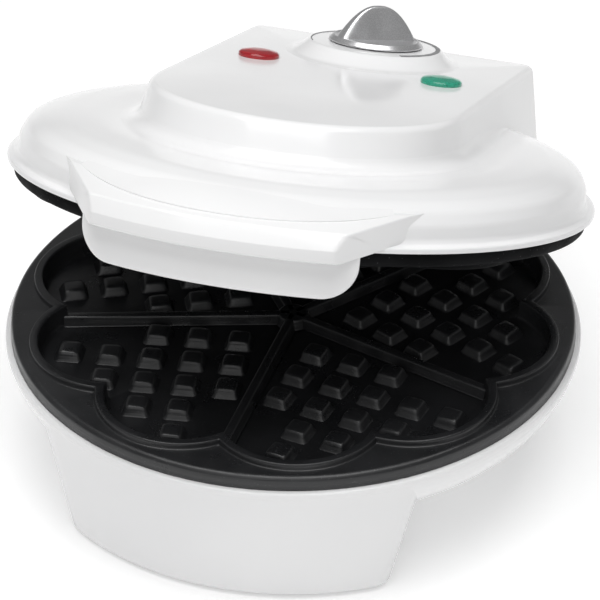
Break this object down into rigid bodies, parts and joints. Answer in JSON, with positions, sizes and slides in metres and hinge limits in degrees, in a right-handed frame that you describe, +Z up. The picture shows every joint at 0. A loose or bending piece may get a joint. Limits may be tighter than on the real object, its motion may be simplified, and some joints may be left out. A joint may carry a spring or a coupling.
{
  "type": "waffle maker",
  "caption": "Round tabletop waffle maker: hinged domed lid with front grip, heart-pattern non-stick plates, control box with indicator lamps and a turning heat dial, waisted pedestal base.",
  "frame": {"origin": "on the table, under the middle of the object's box with the lid in its half-open rest pose", "axes": "+X to the right seen from the grip, +Y from the grip to the hinge, +Z up"},
  "size_m": [0.1906, 0.2163, 0.1398],
  "materials": {
    "white_shell": "smooth glossy white moulding",
    "grey_cover": "plain grey moulding",
    "foot_rubber": "matt black rubber",
    "steel": "zinc plated steel",
    "coated_plate": "cast aluminium with a dark grey non-stick coat",
    "heater_sheath": "heat-tinted steel tube",
    "reflector_sheet": "bright rolled sheet",
    "gland_rubber": "soft white bush",
    "block_plastic": "off-white moulding",
    "brass": "plain turned brass",
    "lead_sleeve": "woven silicone sleeve",
    "red_lens": "clear dyed lens",
    "green_lens": "clear dyed lens",
    "lamp_glass": "clear glass bulb",
    "switch_plastic": "brown heat-proof moulding",
    "ring_grey": "dark grey trim ring",
    "silver_knob": "satin silver paint on a moulding"
  },
  "bodies": {
    "base": {"base_shell": "white_shell", "base_cover": "grey_cover", "rubber_feet": "foot_rubber", "cover_screws": "steel", "lower_plate": "coated_plate", "lower_heater": "heater_sheath", "lower_reflector": "reflector_sheet", "lower_plate_screws": "steel", "hinge_rod": "steel", "hinge_clips": "steel", "cord_gland": "gland_rubber", "terminal_block": "block_plastic", "thermal_fuse": "brass", "base_wiring": "lead_sleeve"},
    "lid": {"lid_shell": "white_shell", "upper_plate": "coated_plate", "upper_heater": "heater_sheath", "upper_reflector": "reflector_sheet", "reflector_screws": "steel", "plate_clips": "steel", "hinge_bushes": "brass", "red_lens": "red_lens", "green_lens": "green_lens", "red_lamp": "lamp_glass", "green_lamp": "lamp_glass", "lamp_collars": "block_plastic", "thermostat_body": "switch_plastic", "thermostat_probe": "brass", "thermostat_screws": "steel", "lid_wiring": "lead_sleeve", "dial_ring": "ring_grey"},
    "knob": {"thermostat_knob": "silver_knob", "thermostat_shaft": "steel", "knob_spring": "steel"}
  },
  "joints": [
    {"name": "lid_hinge", "type": "hinge", "parent": "base", "child": "lid", "pos_m": [0, 0.0879, 0.05225], "axis": [-1, 0, 0], "range_deg": [-20.5, 79.5]},
    {"name": "dial_turn", "type": "hinge", "parent": "lid", "child": "knob", "pos_m": [0, 0.08401, 0.09753], "axis": [0, 0.3502, 0.9367], "range_deg": [-135, 135]}
  ]
}
